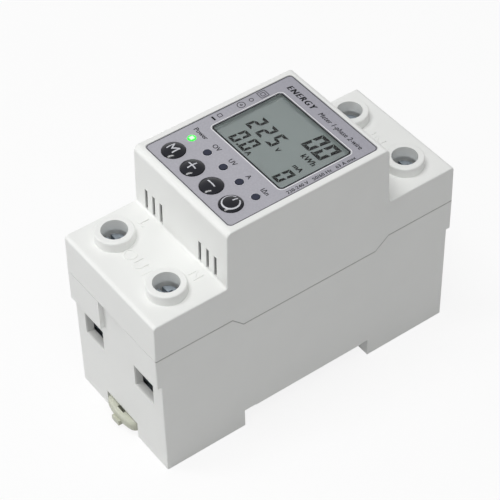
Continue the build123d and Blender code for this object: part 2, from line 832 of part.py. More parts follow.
def rail_clip():
    """Moulded slider: pull tab, two flanges, two sprung arms and the catch."""
    near = -clip_tab_corner
    through = (clip_bottom - wall, clip_top + wall)
    across = (-body_width, body_width)
    tab_back = near + clip_tab_depth
    tab_sides = [Line((clip_half_width, near), (clip_half_width, tab_back)),
                 Line((clip_half_width, tab_back), (-clip_half_width, tab_back)),
                 Line((-clip_half_width, tab_back), (-clip_half_width, near))]
    tab_front = ThreePointArc((-clip_half_width, near), (0, -clip_tab_end), (clip_half_width, near))
    plan = make_face(tab_sides + [tab_front])
    plan = fillet([v for v in plan.vertices() if abs(v.Y - near) < match_tolerance], clip_tab_corner_round)
    tab = extrude(Pos(0, 0, clip_bottom) * plan, clip_top - clip_bottom)
    rims = [e for e in tab.edges().filter_by(GeomType.CIRCLE) if e.center().Y < near]
    body = fillet(rims, clip_tab_round)
    body += block((-clip_half_width, clip_half_width), (near + clip_tab_corner_round, clip_catch_tip),
                  (clip_bottom, clip_top))
    body += block((-clip_tongue_half, clip_tongue_half), (-clip_tongue_end, near),
                  (clip_bottom, clip_tongue_top))
    flange_half = clip_half_width + flange_reach
    body += block((-flange_half, flange_half), (flange_near, flange_far), (flange_bottom, flange_top))
    body -= block(across, (recess_near - groove_gap, 0), (hook_top, clip_top + wall))
    catch_bottom = hook_top - hook_tip_height
    ramp = [(clip_catch_tip + wall, clip_bottom - wall), (clip_catch_tip + wall, catch_bottom),
            (clip_catch_tip, catch_bottom), (clip_catch_tip - clip_catch_ramp, clip_bottom),
            (clip_catch_tip - clip_catch_ramp, clip_bottom - wall)]
    body -= prism(ramp, across)
    for side in sides.values():
        outer = clip_half_width - arm_width
        body -= block((side * (outer - arm_slot_width), side * outer), (arm_slot_near, flange_far), through)
    body -= block((-notch_half, notch_half), (near, near + notch_depth), through)
    return Pos(clip_x, 0, 0) * body


def build():
    """Every piece by node name, in the frame with the rail seat at Z = 0."""
    parts = {"base_housing": base_housing(), "top_cover": top_cover(), "label_plate": label_plate(),
             "lcd_window": lcd_window(), "relay": relay(), "rail_clip": rail_clip()}
    for group in (display_parts(), front_controls(), current_bars(), power_parts()):
        parts.update(group)
    for end, side in corners:
        x = sides[side] * terminal_x
        y = ends[end] * terminal_y
        parts[f"cage_{end}_{side}"] = clamp_cage(x, y)
        parts[f"screw_{end}_{side}"] = terminal_screw(x, y)
    return {name: Pos(0, 0, -rail_recess_depth) * piece for name, piece in parts.items()}


os.makedirs("parts", exist_ok=True)
for node, piece in build().items():
    export_step(piece, f"parts/{node}.step")
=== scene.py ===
import math

import bmesh
import bpy
from mathutils import Matrix, Vector


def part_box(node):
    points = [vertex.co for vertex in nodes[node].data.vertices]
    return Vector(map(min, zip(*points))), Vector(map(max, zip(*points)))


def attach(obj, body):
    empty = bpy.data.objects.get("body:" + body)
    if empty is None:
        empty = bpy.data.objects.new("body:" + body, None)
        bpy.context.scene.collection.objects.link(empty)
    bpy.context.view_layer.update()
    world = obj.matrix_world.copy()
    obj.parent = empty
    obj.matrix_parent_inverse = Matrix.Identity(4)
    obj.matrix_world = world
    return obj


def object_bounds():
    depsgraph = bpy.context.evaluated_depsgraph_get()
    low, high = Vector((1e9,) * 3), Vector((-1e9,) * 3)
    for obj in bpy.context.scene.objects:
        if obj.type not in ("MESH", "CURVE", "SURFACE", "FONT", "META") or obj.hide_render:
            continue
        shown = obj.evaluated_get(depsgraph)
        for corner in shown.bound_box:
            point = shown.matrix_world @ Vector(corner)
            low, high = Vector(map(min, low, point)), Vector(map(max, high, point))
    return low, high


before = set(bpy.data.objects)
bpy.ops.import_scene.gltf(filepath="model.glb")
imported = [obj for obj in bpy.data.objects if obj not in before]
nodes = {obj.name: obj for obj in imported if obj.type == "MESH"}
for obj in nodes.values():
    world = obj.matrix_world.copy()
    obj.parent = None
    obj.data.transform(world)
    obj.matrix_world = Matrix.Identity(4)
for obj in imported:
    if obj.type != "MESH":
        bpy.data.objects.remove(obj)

cad_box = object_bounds()
mm = 0.001
body = "housing"

# Front plate, window and display as the frame gives them
plate_low, plate_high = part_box("label_plate")
pane_low, pane_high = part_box("lcd_window")
glass_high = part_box("lcd_glass")[1]
print_depth = 0.02 * mm
pane_edge = 1.0 * mm

# Joint of the two shells, in mm: its height at the ends, the depth of its dip, where the slopes begin and
# end, how far from it the painted shade starts and is full, and where the side faces start that carry it
joint_height = 33.07
joint_dip = 3.05
joint_high_ends = (-21.8, 23.1)
joint_low_ends = (-18.8, 19.3)
joint_painted_shade = (0.22, 0.12)
joint_side = (17.6, 17.9)

# Painted shade deep in the housing, in mm: where it starts along the length, its lowest and its highest
# point for the vent slots and for the wire entries, its half width, its fade, and the height of the slots
slot_shade_reach = (22.55, 43.9, 51.5)
entry_shade_reach = (41.4, 12.0, 24.0)
shaded_half = 16.3
shade_fade = 0.3
slot_shade_heights = (44.3, 50.2)

# Width of a brick and length of a wave in Blender's own patterns at a scale of one
brick_width = 0.5
wave_length = math.pi / 10

# Patterns that have a place or a size, in mm: where the colour of the front plate starts to darken and is
# darkest, half the side of the lit diode's die and where its white ends, where the capacitor's stripe starts,
# the mesh of the board's tracks, and the layers of the contact strips as they are drawn
film_fade = (-10, 20)
lit_die = (0.42, 0.62)
stripe_start = 3.9
track_mesh = 3.125
layer_pitch = 1.2566

# Camera, at the photograph's angle and distance
camera_azimuth = math.radians(54.664)
camera_elevation = math.radians(44.971)
camera_roll = math.radians(-1.422)
camera_distance = 437.46 * mm
camera_target = Vector((0.88, -4.43, 31.28)) * mm
focal_pixels = 1876.7
frame_pixels = 500
sensor_width = 36.0


def linear(hex_colour):
    """Turns an sRGB hex colour into linear light, as the shaders want it."""
    channels = [int(hex_colour[k:k + 2], 16) / 255 for k in (1, 3, 5)]
    return [c / 12.92 if c <= 0.04045 else ((c + 0.055) / 1.055) ** 2.4 for c in channels] + [1.0]


def add(tree, kind, inputs=None, **settings):
    """Adds a node, sets its properties and fills its inputs with values or other nodes' sockets."""
    made = tree.nodes.new(kind)
    for name, value in settings.items():
        setattr(made, name, value)
    for name, value in (inputs or {}).items():
        if isinstance(value, bpy.types.NodeSocket):
            tree.links.new(value, made.inputs[name])
        else:
            made.inputs[name].default_value = value
    return made


def new_material(name, colour, roughness, **sockets):
    """A Principled material with its plain values set on the shader's own sockets."""
    material = bpy.data.materials.new(name)
    material.use_nodes = True
    tree = material.node_tree
    shader = tree.nodes["Principled BSDF"]
    shader.inputs["Base Color"].default_value = linear(colour)
    shader.inputs["Roughness"].default_value = roughness
    for socket, value in sockets.items():
        shader.inputs[socket.replace("_", " ").title().replace("Ior", "IOR")].default_value = value
    return material, tree, shader


def mottle(tree, shader, colour_a, colour_b, grain_mm, detail=3.0):
    """Lets the base colour drift between two near tones, as pigment and handling do."""
    where = add(tree, "ShaderNodeTexCoord").outputs["Object"]
    noise = add(tree, "ShaderNodeTexNoise", {"Vector": where, "Scale": 1000.0 / grain_mm, "Detail": detail})
    mix = add(tree, "ShaderNodeMix", {0: noise.outputs["Fac"], 6: linear(colour_a), 7: linear(colour_b)},
              data_type="RGBA")
    tree.links.new(mix.outputs[2], shader.inputs["Base Color"])
    return mix.outputs[2]


def grain(tree, shader, grain_mm, depth_mm, strength=1.0, detail=2.0, stretch=(1.0, 1.0, 1.0)):
    """A fine raised grain, from the spark-eroded or ground face of the tool."""
    where = add(tree, "ShaderNodeTexCoord").outputs["Object"]
    drawn = add(tree, "ShaderNodeMapping", {"Vector": where, "Scale": stretch})
    noise = add(tree, "ShaderNodeTexNoise", {"Vector": drawn.outputs["Vector"], "Scale": 1000.0 / grain_mm,
                                             "Detail": detail})
    bump = add(tree, "ShaderNodeBump", {"Height": noise.outputs["Fac"], "Strength": strength,
                                        "Distance": depth_mm * mm})
    tree.links.new(bump.outputs["Normal"], shader.inputs["Normal"])


def sheen_spread(tree, shader, low, high, grain_mm, detail=3.0):
    """Roughness that varies a little over the surface, as handled plastic does."""
    where = add(tree, "ShaderNodeTexCoord").outputs["Object"]
    noise = add(tree, "ShaderNodeTexNoise", {"Vector": where, "Scale": 1000.0 / grain_mm, "Detail": detail})
    spread = add(tree, "ShaderNodeMapRange", {"Value": noise.outputs["Fac"], "To Min": low, "To Max": high})
    tree.links.new(spread.outputs["Result"], shader.inputs["Roughness"])


def share_within(tree, limits):
    """How far a point lies within all the limits, each a coordinate, where it starts and where it is full."""
    share = 1.0
    for value, start, full in limits:
        ramp = add(tree, "ShaderNodeMapRange", {"Value": value, "From Min": start * mm,
                                                "From Max": full * mm})
        share = add(tree, "ShaderNodeMath", {0: share, 1: ramp.outputs["Result"]},
                    operation="MULTIPLY").outputs["Value"]
    return share


def white_housing_plastic():
    # Self-extinguishing polycarbonate blend, moulded against a finely eroded tool: satin, no clear
    # reflections, with painted shade in a line a third of a millimetre wide along the wavy joint of the two
    # shells, and painted shade deep in the vent slots, most at their foot, and in the wire entries
    material, tree, shader = new_material("white_moulded_polycarbonate", "#EDEEEC", 0.45, ior=1.58)
    colour = mottle(tree, shader, "#EFF0EE", "#EBECEA", 9.0)
    where = add(tree, "ShaderNodeTexCoord").outputs["Object"]
    part = add(tree, "ShaderNodeSeparateXYZ", {"Vector": where}).outputs
    height = part["Z"]
    across, along = [add(tree, "ShaderNodeMath", {0: part[axis]}, operation="ABSOLUTE").outputs["Value"]
                     for axis in "XY"]
    near, far = [add(tree, "ShaderNodeMapRange", {"Value": part["Y"], "From Min": high * mm,
                                                  "From Max": low * mm, "To Max": joint_dip * mm})
                 for high, low in zip(joint_high_ends, joint_low_ends)]
    away = add(tree, "ShaderNodeMath", {0: near.outputs["Result"], 1: far.outputs["Result"]},
               operation="MINIMUM")
    for step, other in (("ADD", height), ("SUBTRACT", joint_height * mm), ("ABSOLUTE", 0.0)):
        away = add(tree, "ShaderNodeMath", {0: away.outputs["Value"], 1: other}, operation=step)
    # Painted shade along the wavy joint of the shells, on the side faces only
    shades = [(linear("#BDBEBC"), [(away.outputs["Value"], *joint_painted_shade), (across, *joint_side)])]
    # Painted shade deep in the vent slots, darkest at their foot, and then in the wire entries
    rise = add(tree, "ShaderNodeMapRange", {"Value": height, "From Min": slot_shade_heights[0] * mm,
                                            "From Max": slot_shade_heights[1] * mm})
    slot_painted_shade = add(tree, "ShaderNodeMix", {0: rise.outputs["Result"], 6: linear("#4E504F"),
                                            7: linear("#8C8E8C")}, data_type="RGBA")
    for tone, (start, low, high) in ((slot_painted_shade.outputs[2], slot_shade_reach), (linear("#D0D1CF"), entry_shade_reach)):
        shades.append((tone, [(across, shaded_half, shaded_half - shade_fade),
                              (along, start, start - shade_fade),
                              (height, low, low + shade_fade), (height, high, high - shade_fade)]))
    for tone, limits in shades:
        colour = add(tree, "ShaderNodeMix", {0: share_within(tree, limits), 6: colour, 7: tone},
                     data_type="RGBA").outputs[2]
    tree.links.new(colour, shader.inputs["Base Color"])
    grain(tree, shader, 0.35, 0.004)
    sheen_spread(tree, shader, 0.40, 0.50, 6.0)
    return material


def silver_label_film():
    # Screen-printed polyester film in silver-grey: a fine speckle from the metallic ink under a matt skin
    # and a colour that darkens a little towards the far end
    material, tree, shader = new_material("silver_printed_polyester", "#A9A8B0", 0.42, ior=1.6)
    speckle = mottle(tree, shader, "#9D9CA4", "#B5B4BC", 0.45, 4.0)
    where = add(tree, "ShaderNodeTexCoord").outputs["Object"]
    part = add(tree, "ShaderNodeSeparateXYZ", {"Vector": where})
    fade = add(tree, "ShaderNodeMapRange", {"Value": part.outputs["Y"], "From Min": film_fade[0] * mm,
                                            "From Max": film_fade[1] * mm})
    dimmed = add(tree, "ShaderNodeMix", {0: fade.outputs["Result"], 6: linear("#FFFFFF"),
                                         7: linear("#E9E9EC")}, data_type="RGBA")
    graded = add(tree, "ShaderNodeMix", {0: 1.0, 6: speckle, 7: dimmed.outputs[2]}, data_type="RGBA",
                 blend_type="MULTIPLY")
    tree.links.new(graded.outputs[2], shader.inputs["Base Color"])
    grain(tree, shader, 0.4, 0.003)
    return material


def clear_window():
    # Cast acrylic pane with an anti-glare skin: colourless, nearly flat, and it mirrors far less than bare
    # acrylic
    material, tree, shader = new_material("clear_acrylic", "#FFFFFF", 0.02, ior=1.49, transmission_weight=1.0,
                                          specular_tint=(0.12, 0.12, 0.12, 1.0))
    grain(tree, shader, 18.0, 0.001, strength=0.3, detail=1.0)
    return material


def display_glass():
    # Twisted-nematic display on a dim light guide: grey-green, with the faint cloud of its rear foil
    material, tree, shader = new_material("backlit_display_glass", "#6A7372", 0.35, ior=1.52)
    mottle(tree, shader, "#67706F", "#6D7675", 1.2, 5.0)
    shader.inputs["Emission Color"].default_value = linear("#8A9593")
    shader.inputs["Emission Strength"].default_value = 0.16
    return material


def glossy_black_caps():
    # Gloss ABS button caps: deep blue-black, dark until the crown turns a lamp to the eye as a small crescent
    material, tree, shader = new_material("gloss_black_abs", "#14151E", 0.1, ior=1.54,
                                          specular_ior_level=0.22)
    mottle(tree, shader, "#12131B", "#161721", 3.0)
    sheen_spread(tree, shader, 0.08, 0.11, 2.0)
    return material


def dark_lamp_lens():
    # Smoked epoxy lens over an unlit diode: slate blue in its depth
    material, tree, shader = new_material("smoked_epoxy_lens", "#2A2D3F", 0.2, ior=1.5,
                                          specular_ior_level=0.2)
    mottle(tree, shader, "#262939", "#303447", 0.7)
    return material


def lit_lamp_lens(centre):
    # Diffused epoxy lens over a lit diode: the square die shows white, the lens round it pure green
    material, tree, shader = new_material("lit_green_epoxy_lens", "#2BE03A", 0.35, ior=1.5)
    where = add(tree, "ShaderNodeTexCoord").outputs["Object"]
    centred = add(tree, "ShaderNodeMapping", {"Vector": where, "Location": -centre})
    plain = add(tree, "ShaderNodeVectorMath", {0: centred.outputs["Vector"]}, operation="ABSOLUTE")
    part = add(tree, "ShaderNodeSeparateXYZ", {"Vector": plain.outputs["Vector"]})
    square = add(tree, "ShaderNodeMath", {0: part.outputs["X"], 1: part.outputs["Y"]}, operation="MAXIMUM")
    rim = add(tree, "ShaderNodeMapRange", {"Value": square.outputs["Value"], "From Min": lit_die[0] * mm,
                                           "From Max": lit_die[1] * mm})
    glow = add(tree, "ShaderNodeMix", {0: rim.outputs["Result"], 6: linear("#FBFFFA"), 7: linear("#3BE64A")},
               data_type="RGBA")
    tree.links.new(glow.outputs[2], shader.inputs["Emission Color"])
    shader.inputs["Emission Strength"].default_value = 0.85
    return material


def cream_nylon():
    # Unfilled nylon 6, cream, with the soft sheen of a part that is bent each time it is used
    material, tree, shader = new_material("cream_nylon", "#BFC1B1", 0.38, ior=1.53, subsurface_weight=0.05)
    shader.inputs["Subsurface Radius"].default_value = (0.6 * mm, 0.5 * mm, 0.4 * mm)
    mottle(tree, shader, "#C3C5B6", "#BBBDAC", 3.0)
    grain(tree, shader, 0.3, 0.003)
    return material


def zinc_steel():
    # Zinc-plated, blue-passivated steel: cool grey with fine rolled and headed tool marks
    material, tree, shader = new_material("blue_zinc_plated_steel", "#AEB7BF", 0.4, metallic=1.0)
    mottle(tree, shader, "#A3ADB7", "#BAC1C8", 1.0)
    grain(tree, shader, 0.25, 0.004, stretch=(1.0, 0.12, 1.0))
    sheen_spread(tree, shader, 0.34, 0.5, 0.8)
    return material


def bare_copper():
    # Punched electrolytic copper strap, gone a little brown in store
    material, tree, shader = new_material("bare_copper_strap", "#C98E6B", 0.3, metallic=1.0)
    mottle(tree, shader, "#D29877", "#AF7656", 2.5)
    sheen_spread(tree, shader, 0.22, 0.42, 1.5)
    return material


def green_circuit_board():
    # Glass-epoxy board under solder resist: the copper tracks show as a paler green net with a mesh of 3 mm
    material, tree, shader = new_material("solder_resist_green", "#1B5A34", 0.3, ior=1.55, coat_weight=0.3)
    where = add(tree, "ShaderNodeTexCoord").outputs["Object"]
    net = add(tree, "ShaderNodeTexBrick", {"Vector": where, "Color1": linear("#174E2D"),
                                           "Color2": linear("#1D6038"), "Mortar": linear("#2F7C4C"),
                                           "Scale": brick_width / (track_mesh * mm), "Mortar Size": 0.03},
              offset=0.37)
    tree.links.new(net.outputs["Color"], shader.inputs["Base Color"])
    return material


def moulded_part(name, light, dark, roughness, grain_mm=0.3):
    # Small moulded or dipped electronic part: one pigment, faint grain, soft sheen
    material, tree, shader = new_material(name, light, roughness, ior=1.55)
    mottle(tree, shader, light, dark, 2.0)
    grain(tree, shader, grain_mm, 0.004)
    return material


def capacitor_sleeve(axis):
    # Shrunk vinyl sleeve on an aluminium can: dark blue with a pale stripe down the minus side
    material, tree, shader = new_material("shrunk_vinyl_sleeve", "#27304F", 0.25, ior=1.53, coat_weight=0.2)
    where = add(tree, "ShaderNodeTexCoord").outputs["Object"]
    centred = add(tree, "ShaderNodeMapping", {"Vector": where, "Location": -axis})
    part = add(tree, "ShaderNodeSeparateXYZ", {"Vector": centred.outputs["Vector"]})
    stripe = add(tree, "ShaderNodeMath", {0: part.outputs["X"], 1: stripe_start * mm},
                 operation="GREATER_THAN")
    mix = add(tree, "ShaderNodeMix", {0: stripe.outputs["Value"], 6: linear("#27304F"), 7: linear("#B9BDC4")},
              data_type="RGBA")
    tree.links.new(mix.outputs[2], shader.inputs["Base Color"])
    return material


def contact_strip():
    # Layered silicone contact strip: black carbon layers between pale ones. The real layers are a fifth of a
    # millimetre apart, too fine to show, so they are drawn about 1.3 mm apart
    material, tree, shader = new_material("layered_silicone", "#4A4148", 0.6, ior=1.43)
    where = add(tree, "ShaderNodeTexCoord").outputs["Object"]
    wave = add(tree, "ShaderNodeTexWave", {"Vector": where, "Scale": wave_length / (layer_pitch * mm),
                                           "Distortion": 0.0}, bands_direction="X")
    mix = add(tree, "ShaderNodeMix", {0: wave.outputs["Fac"], 6: linear("#2A2528"), 7: linear("#9C8A92")},
              data_type="RGBA")
    tree.links.new(mix.outputs[2], shader.inputs["Base Color"])
    return material


def printing_ink(name, colour, gloss=0.15):
    # Screen-printing ink, two hundredths of a millimetre thick: flat, opaque and matt
    material, tree, shader = new_material(name, colour, 0.55, ior=1.5, specular_ior_level=gloss)
    sheen_spread(tree, shader, 0.42, 0.6, 0.5, detail=2.0)
    return material


def centre_of(node):
    low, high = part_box(node)
    return (low + high) / 2


def dress(material, *names):
    """Gives CAD nodes their finish."""
    for name in names:
        mesh = nodes[name].data
        mesh.materials.clear()
        mesh.materials.append(material)


def starting_with(prefix):
    return [name for name in nodes if name.startswith(prefix)]


lens = centre_of("led_power")
lens.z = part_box("led_power")[1].z
ink_dark = printing_ink("dark_printing_ink", "#17171B")
ink_white = printing_ink("white_printing_ink", "#F2F3F4")
ink_pale = printing_ink("pale_grey_pad_ink", "#CFD0D6")
segment_black = printing_ink("display_segment_black", "#040506", 0.0)
steel = zinc_steel()
housing = white_housing_plastic()
black_part = moulded_part("black_glass_filled_nylon", "#1A1A1C", "#222224", 0.42)

dress(housing, "base_housing", "top_cover")
dress(silver_label_film(), "label_plate")
dress(clear_window(), "lcd_window")
dress(display_glass(), "lcd_glass")
dress(moulded_part("milky_acrylic_guide", "#E2E6DC", "#D8DCD2", 0.3), "lcd_backlight")
dress(contact_strip(), "contact_strip_near", "contact_strip_far")
dress(green_circuit_board(), "display_board", "power_board")
dress(black_part, "relay", "leakage_ring", "metering_chip", "board_header", *starting_with("switch_"))
dress(moulded_part("white_acetal", "#DDDCD6", "#D3D2CC", 0.35), *starting_with("plunger_"))
dress(moulded_part("yellow_box_polypropylene", "#D9B73A", "#CFAD33", 0.4), "film_capacitor")
dress(capacitor_sleeve(centre_of("smoothing_capacitor")), "smoothing_capacitor")
dress(moulded_part("blue_dipped_epoxy", "#23447F", "#1D3B70", 0.35, 0.8), "varistor")
dress(moulded_part("dark_ferrite", "#3B3937", "#2F2D2B", 0.6), "supply_transformer")
dress(bare_copper(), "neutral_bar", "line_bar_in", "line_bar_out")
dress(cream_nylon(), "rail_clip")
dress(steel, "display_screws", *starting_with("cage_"), *starting_with("screw_"))
dress(glossy_black_caps(), *starting_with("button_"))
dress(dark_lamp_lens(), *starting_with("led_"))
dress(lit_lamp_lens(lens), "led_power")


def keep_mesh(name, mesh, rides_on, material):
    """Makes a piece of the object from a finished mesh in the row frame."""
    piece = bpy.data.objects.new(name, mesh)
    bpy.context.scene.collection.objects.link(piece)
    mesh.materials.clear()
    mesh.materials.append(material)
    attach(piece, rides_on)
    return piece


# Height of a capital as a share of the font's size, and how near to each other two points become one
capital_share = 0.72
weld_distance = 0.0001 * mm


def flat_shape(outline_curve, depth):
    """Turns a flat text or curve object into a thin solid mesh and removes the object."""
    outline_curve.data.extrude = depth / 2
    bpy.context.view_layer.update()
    graph = bpy.context.evaluated_depsgraph_get()
    mesh = bpy.data.meshes.new_from_object(outline_curve.evaluated_get(graph))
    data = outline_curve.data
    bpy.data.objects.remove(outline_curve)
    bpy.data.curves.remove(data)
    return mesh


def text_mesh(words, height, at, align="CENTER", slant=0.0, spacing=1.0, stretch=1.0):
    """Words as a thin solid, with the height of a capital and the anchor of the baseline."""
    curve = bpy.data.curves.new("words", "FONT")
    curve.body = words
    curve.align_x = align
    curve.size = height / capital_share
    curve.shear = slant
    curve.space_character = spacing
    curve.resolution_u = 3
    writer = bpy.data.objects.new("words", curve)
    bpy.context.scene.collection.objects.link(writer)
    mesh = flat_shape(writer, print_depth)
    mesh.transform(Matrix.Translation(at) @ Matrix.Diagonal((stretch, 1, 1, 1)))
    return mesh


def bold_text(words, height, at, stroke, **settings):
    """Words whose strokes are that much wider: two prints side by side, the second a hair above the first."""
    shifts = [(-stroke / 2, 0), (stroke / 2, print_depth / 8)]
    return join([text_mesh(words, height, (at[0] + x, at[1], at[2] + z), **settings) for x, z in shifts])


def flat_solid(outline, at):
    """A thin printed shape from its outline, given anticlockwise in millimetres round the point at."""
    made = bmesh.new()
    low, high = ([made.verts.new((at[0] + x * mm, at[1] + y * mm, at[2] + z)) for x, y in outline]
                 for z in (-print_depth / 2, print_depth / 2))
    made.faces.new(low[::-1])
    made.faces.new(high)
    for k, (a, b) in enumerate(zip(low, high)):
        after = (k + 1) % len(low)
        made.faces.new((a, low[after], high[after], b))
    made.normal_update()
    bmesh.ops.triangulate(made, faces=made.faces)
    mesh = bpy.data.meshes.new("printed_shape")
    made.to_mesh(mesh)
    made.free()
    return mesh


def rectangle(width, height):
    """Outline of a rectangle round the origin, anticlockwise."""
    x, y = width / 2, height / 2
    return [(-x, -y), (x, -y), (x, y), (-x, y)]


def join(meshes):
    """Joins meshes into one and removes the rest."""
    joined = bmesh.new()
    for mesh in meshes:
        joined.from_mesh(mesh)
        bpy.data.meshes.remove(mesh)
    whole = bpy.data.meshes.new("joined")
    bmesh.ops.remove_doubles(joined, verts=joined.verts, dist=weld_distance)
    bmesh.ops.recalc_face_normals(joined, faces=joined.faces)
    joined.to_mesh(whole)
    joined.free()
    return whole


def settle(holder):
    """Turns an object with a Geometry Nodes modifier into the plain mesh that it shows."""
    bpy.context.view_layer.update()
    graph = bpy.context.evaluated_depsgraph_get()
    mesh = bpy.data.meshes.new_from_object(holder.evaluated_get(graph))
    bpy.data.objects.remove(holder)
    return mesh


def grow(tree, values, start_mesh=None):
    """Runs a node tree on a mesh, its named inputs set by their identifiers, and returns the plain mesh."""
    holder = bpy.data.objects.new("grown", start_mesh or bpy.data.meshes.new("empty"))
    bpy.context.scene.collection.objects.link(holder)
    modifier = holder.modifiers.new("grow", "NODES")
    modifier.node_group = tree
    for item in tree.interface.items_tree:
        if item.item_type == "SOCKET" and item.in_out == "INPUT" and item.name in values:
            modifier[item.identifier] = values[item.name]
    return settle(holder)


def new_tree(name, inputs):
    """A Geometry Nodes tree with its named inputs, and the outputs of its group input."""
    tree = bpy.data.node_groups.new(name, "GeometryNodeTree")
    tree.interface.new_socket("Geometry", in_out="INPUT", socket_type="NodeSocketGeometry")
    for label, kind in inputs:
        tree.interface.new_socket(label, in_out="INPUT", socket_type=kind)
    tree.interface.new_socket("Geometry", in_out="OUTPUT", socket_type="NodeSocketGeometry")
    return tree, add(tree, "NodeGroupInput").outputs


def close_tree(tree, shape, material):
    """Every tree ends in Realize Instances and Set Material."""
    real = add(tree, "GeometryNodeRealizeInstances", {"Geometry": shape})
    finished = add(tree, "GeometryNodeSetMaterial", {"Geometry": real.outputs["Geometry"],
                                                     "Material": material})
    add(tree, "NodeGroupOutput", {"Geometry": finished.outputs["Geometry"]})
    return tree


def frame_line_tree(material):
    """A printed line round a rectangle with rounded corners."""
    tree, given = new_tree("printed_frame_line", [
        ("Width", "NodeSocketFloat"), ("Length", "NodeSocketFloat"), ("Corner", "NodeSocketFloat"),
        ("Line", "NodeSocketFloat"), ("Depth", "NodeSocketFloat"), ("Centre", "NodeSocketVector")])
    path = add(tree, "GeometryNodeCurvePrimitiveQuadrilateral", {"Width": given["Width"],
                                                                 "Height": given["Length"]})
    rounded = add(tree, "GeometryNodeFilletCurve", {"Curve": path.outputs["Curve"], "Radius": given["Corner"],
                                                    "Count": 8}, mode="POLY")
    profile = add(tree, "GeometryNodeCurvePrimitiveQuadrilateral", {"Width": given["Line"],
                                                                    "Height": given["Depth"]})
    band = add(tree, "GeometryNodeCurveToMesh", {"Curve": rounded.outputs["Curve"],
                                                 "Profile Curve": profile.outputs["Curve"]})
    moved = add(tree, "GeometryNodeTransform", {"Geometry": band.outputs["Mesh"],
                                                "Translation": given["Centre"]})
    return close_tree(tree, moved.outputs["Geometry"], material)


def frame_line(tree, width, length, corner, line, centre):
    """The line of such a tree round a rectangle of that width and length."""
    return grow(tree, {"Width": width, "Length": length, "Corner": corner, "Line": line, "Depth": print_depth,
                       "Centre": centre})


def ring_tree(material):
    """A printed ring at every vertex of the mesh that the tree is given."""
    tree, given = new_tree("printed_rings", [
        ("Radius", "NodeSocketFloat"), ("Line", "NodeSocketFloat"), ("Depth", "NodeSocketFloat")])
    circle = add(tree, "GeometryNodeCurvePrimitiveCircle", {"Radius": given["Radius"], "Resolution": 40})
    profile = add(tree, "GeometryNodeCurvePrimitiveQuadrilateral", {"Width": given["Line"],
                                                                    "Height": given["Depth"]})
    ring = add(tree, "GeometryNodeCurveToMesh", {"Curve": circle.outputs["Curve"],
                                                 "Profile Curve": profile.outputs["Curve"]})
    copies = add(tree, "GeometryNodeInstanceOnPoints", {"Points": given["Geometry"],
                                                        "Instance": ring.outputs["Mesh"]})
    return close_tree(tree, copies.outputs["Instances"], material)


def rings(tree, radius, line, points):
    """A ring of such a tree round each of the points."""
    start = bpy.data.meshes.new("ring_places")
    start.from_pydata(points, [], [])
    return grow(tree, {"Radius": radius, "Line": line, "Depth": print_depth}, start)


# Painted shade in a line round the edge of the front plate, and printed lines round the window
print_z = plate_high.z + print_depth / 2
plate_centre = (plate_low + plate_high) / 2
pane_centre = (pane_low + pane_high) / 2
pane_width = pane_high.x - pane_low.x - 2 * pane_edge
pane_length = pane_high.y - pane_low.y - 2 * pane_edge
plate_width = plate_high.x - plate_low.x
plate_length = plate_high.y - plate_low.y
edge_shade_inset, edge_shade_corner, edge_shade_width = 0.16 * mm, 1.0 * mm, 0.15 * mm
outline_gap, outline_line = 0.32 * mm, 0.2 * mm
window_corner, mask_line = 0.9 * mm, 0.3 * mm
dark_line, white_line = frame_line_tree(ink_dark), frame_line_tree(ink_white)
dark_ring, pale_ring = ring_tree(ink_dark), ring_tree(ink_pale)

# The line just inside the plate's edge is painted shade of the gap round the plate, in dark ink
edge_shade = frame_line(dark_line, plate_width - 2 * edge_shade_inset, plate_length - 2 * edge_shade_inset, edge_shade_corner,
                    edge_shade_width, (plate_centre.x, plate_centre.y, print_z))
keep_mesh("plate_edge_painted_shade", edge_shade, body, ink_dark)

outline = frame_line(white_line, pane_width + 2 * outline_gap, pane_length + 2 * outline_gap,
                     window_corner + outline_gap, outline_line, (pane_centre.x, pane_centre.y, print_z))
keep_mesh("window_white_outline", outline, body, ink_white)

mask = frame_line(dark_line, pane_width - mask_line, pane_length - mask_line, window_corner, mask_line,
                  (pane_centre.x, pane_centre.y, pane_high.z + print_depth / 2))
keep_mesh("window_black_mask", mask, body, ink_dark)

# Words by the lamps, along the top of the plate and down its side, each stroke widened a little
fine_stroke = 0.06 * mm
lamp_words = {"power": "Power", "overvoltage": "OV", "undervoltage": "UV", "current": "A", "leakage": "IΔn"}
lamp_text_height, lamp_text_rise = 1.25 * mm, 2.0 * mm
lamp_places = [centre_of(f"led_{name}") for name in lamp_words]
legends = [bold_text(words, lamp_text_height, (at.x, at.y + lamp_text_rise, print_z), fine_stroke)
           for words, at in zip(lamp_words.values(), lamp_places)]
strip_drop = 1.4 * mm
strip_y = (plate_high.y + pane_high.y) / 2 - strip_drop
strip_slant = 0.2
legends.append(bold_text("ENERGY", 1.6 * mm, (-13.2 * mm, strip_y, print_z), 0.24 * mm, align="LEFT",
                         slant=strip_slant, spacing=1.25))
legends.append(bold_text("Meter 1-phase 2-wire", 1.35 * mm, (-1.4 * mm, strip_y, print_z), fine_stroke,
                         align="LEFT", slant=strip_slant, spacing=1.06, stretch=0.87))
side_height, side_inset = 0.95 * mm, 0.62 * mm
side_words = bold_text("220-240 V   50/60 Hz   63 A max", side_height, (0, 0, 0), fine_stroke, spacing=1.06)
side_words.transform(Matrix.Translation((plate_high.x - side_inset, pane_centre.y, print_z))
                     @ Matrix.Rotation(math.radians(90), 4, "Z"))
legends.append(side_words)

